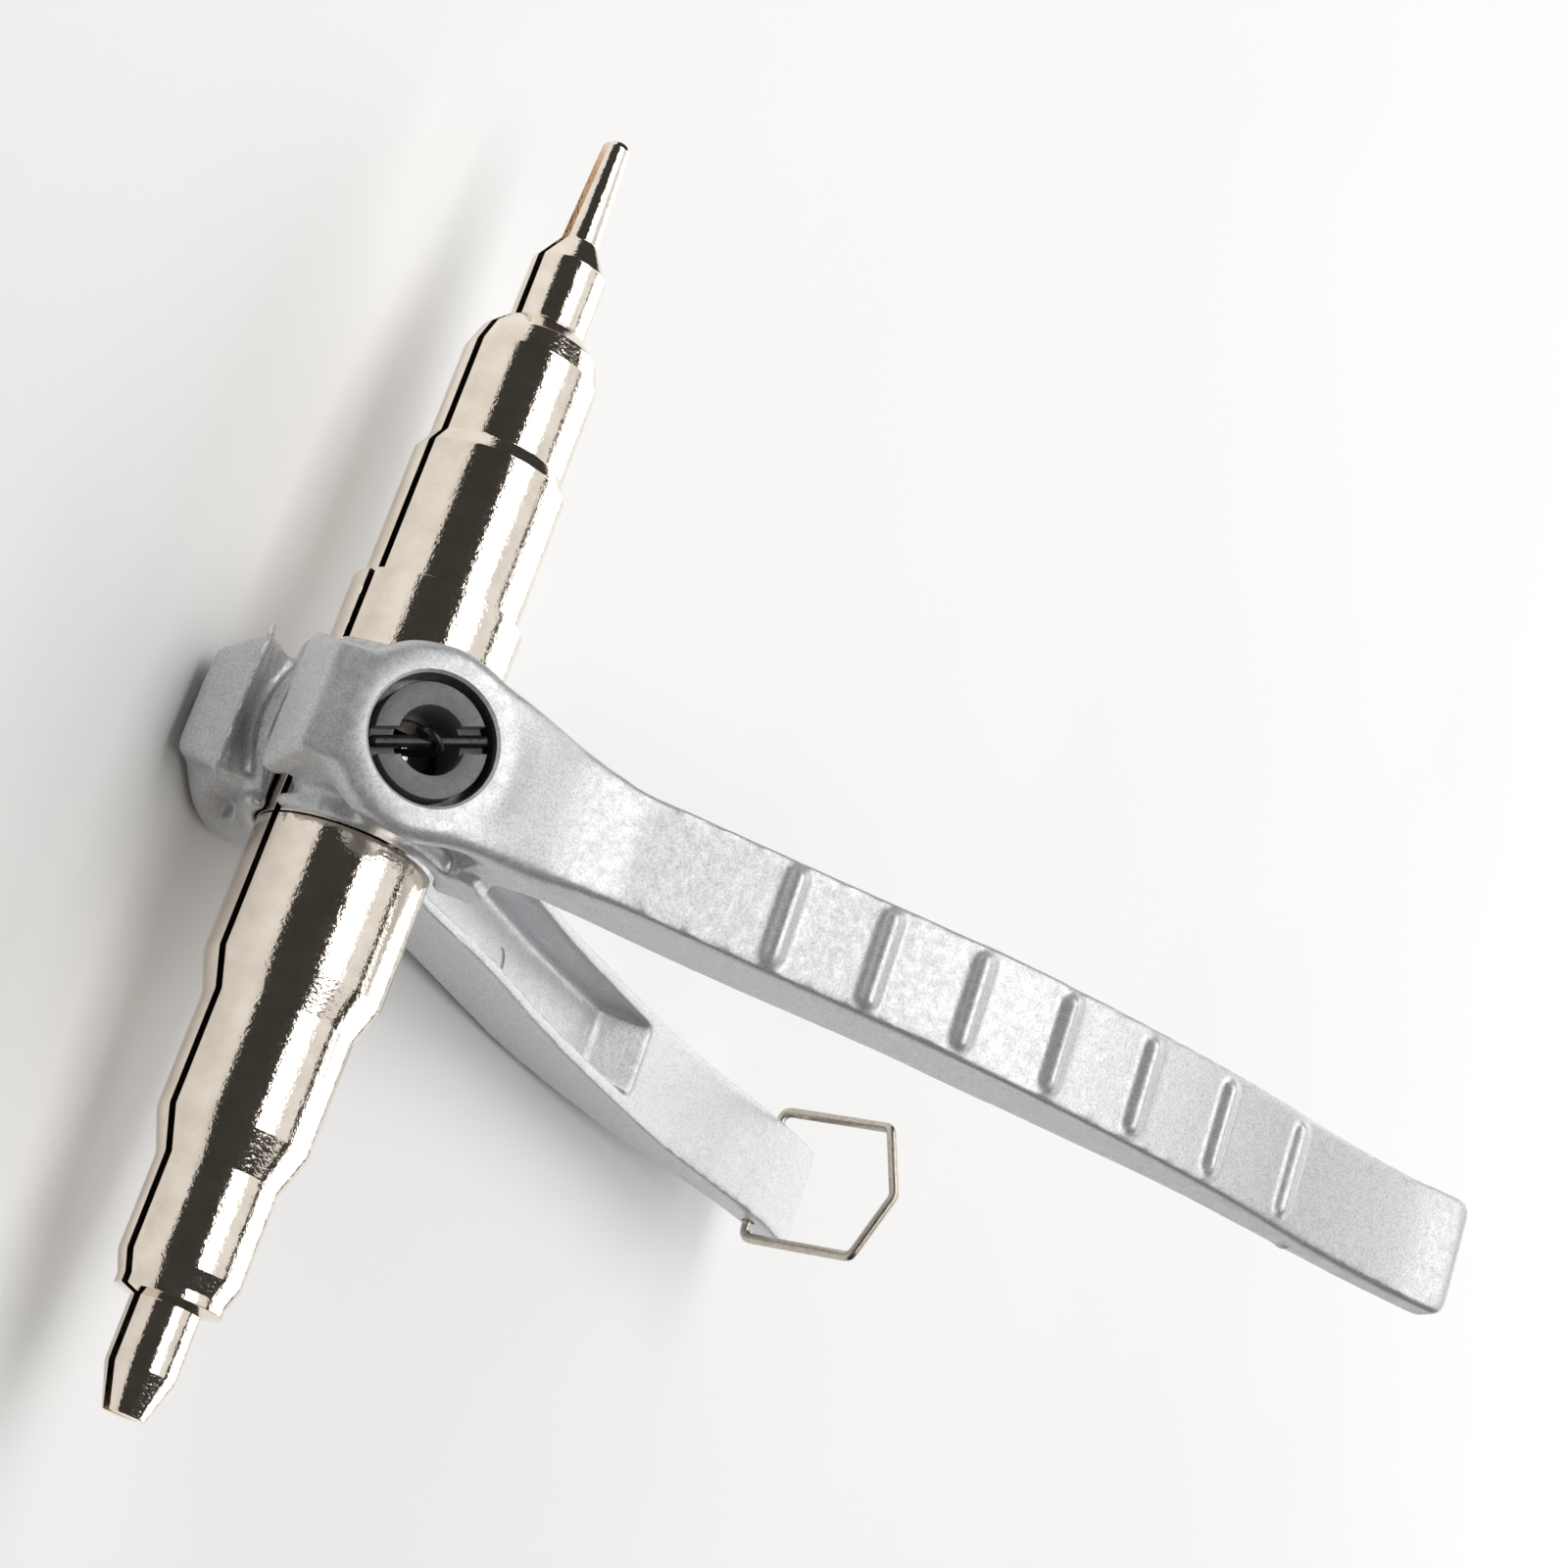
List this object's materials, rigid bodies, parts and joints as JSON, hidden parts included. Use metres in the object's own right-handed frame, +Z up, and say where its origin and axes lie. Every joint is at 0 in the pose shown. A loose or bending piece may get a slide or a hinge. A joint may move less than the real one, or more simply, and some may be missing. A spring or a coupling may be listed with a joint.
{
  "type": "tube expander",
  "caption": "Hand tube expander: two sprung lever handles on a hinge spread a split, stepped swaging mandrel, with a wire bail on one handle to hold them closed.",
  "frame": {"origin": "on the flat ring of the back boss that the tool lies on, midway across the ring's width on the side towards the handles, level with the mandrel axis", "axes": "+X along the back head towards the handles, +Y along the mandrel towards the thin swage, +Z up from the boss ring"},
  "size_m": [0.1732, 0.1612, 0.1248],
  "materials": {
    "cast": "satin silver paint over a die casting",
    "nickel": "polished nickel plate over turned steel",
    "steel": "ground",
    "phosphate": "dark grey phosphate, matte",
    "black": "black oxide, semi-gloss",
    "wire": "drawn spring wire"
  },
  "bodies": {
    "back_lever": {"back_handle": "cast", "back_spring_stud": "phosphate", "back_cross_pin": "black", "hinge_pin": "steel", "upper_retaining_clip": "black", "lower_retaining_clip": "black", "return_spring": "black"},
    "front_lever": {"front_handle": "cast", "front_spring_stud": "phosphate", "front_cross_pin": "black"},
    "back_mandrel": {"back_core": "nickel", "back_upper_swage": "nickel", "back_lower_swage": "nickel", "back_upper_dowel": "steel", "back_lower_dowel": "steel"},
    "front_mandrel": {"front_core": "nickel", "front_upper_swage": "nickel", "front_lower_swage": "nickel", "front_upper_dowel": "steel", "front_lower_dowel": "steel"},
    "bail": {"bail": "wire"}
  },
  "joints": [
    {"name": "handle_squeeze", "type": "hinge", "parent": "back_lever", "child": "front_lever", "pos_m": [-0.00518, 0, 0.02011], "axis": [0, 1, 0], "range_deg": [0, 35], "stiffness_Nm_per_rad": 1, "springref_deg": -20.05, "deforming": ["return_spring"]},
    {"name": "back_mandrel_turn", "type": "hinge", "parent": "back_lever", "child": "back_mandrel", "pos_m": [-0.00855, 0, 0.01885], "axis": [0, 1, 0], "range_deg": [0, 17.5]},
    {"name": "front_mandrel_turn", "type": "hinge", "parent": "front_lever", "child": "front_mandrel", "pos_m": [-0.00855, 0, 0.01885], "axis": [0, 1, 0], "range_deg": [-17.5, 0]},
    {"name": "bail_swing", "type": "hinge", "parent": "back_lever", "child": "bail", "pos_m": [0.1324, 0, 0.01278], "axis": [0, 1, 0], "range_deg": [-74, 252]}
  ],
  "couplings": [
    {"joint": "back_mandrel_turn", "follows": "handle_squeeze", "ratio": 0.5},
    {"joint": "front_mandrel_turn", "follows": "handle_squeeze", "ratio": -0.5}
  ]
}
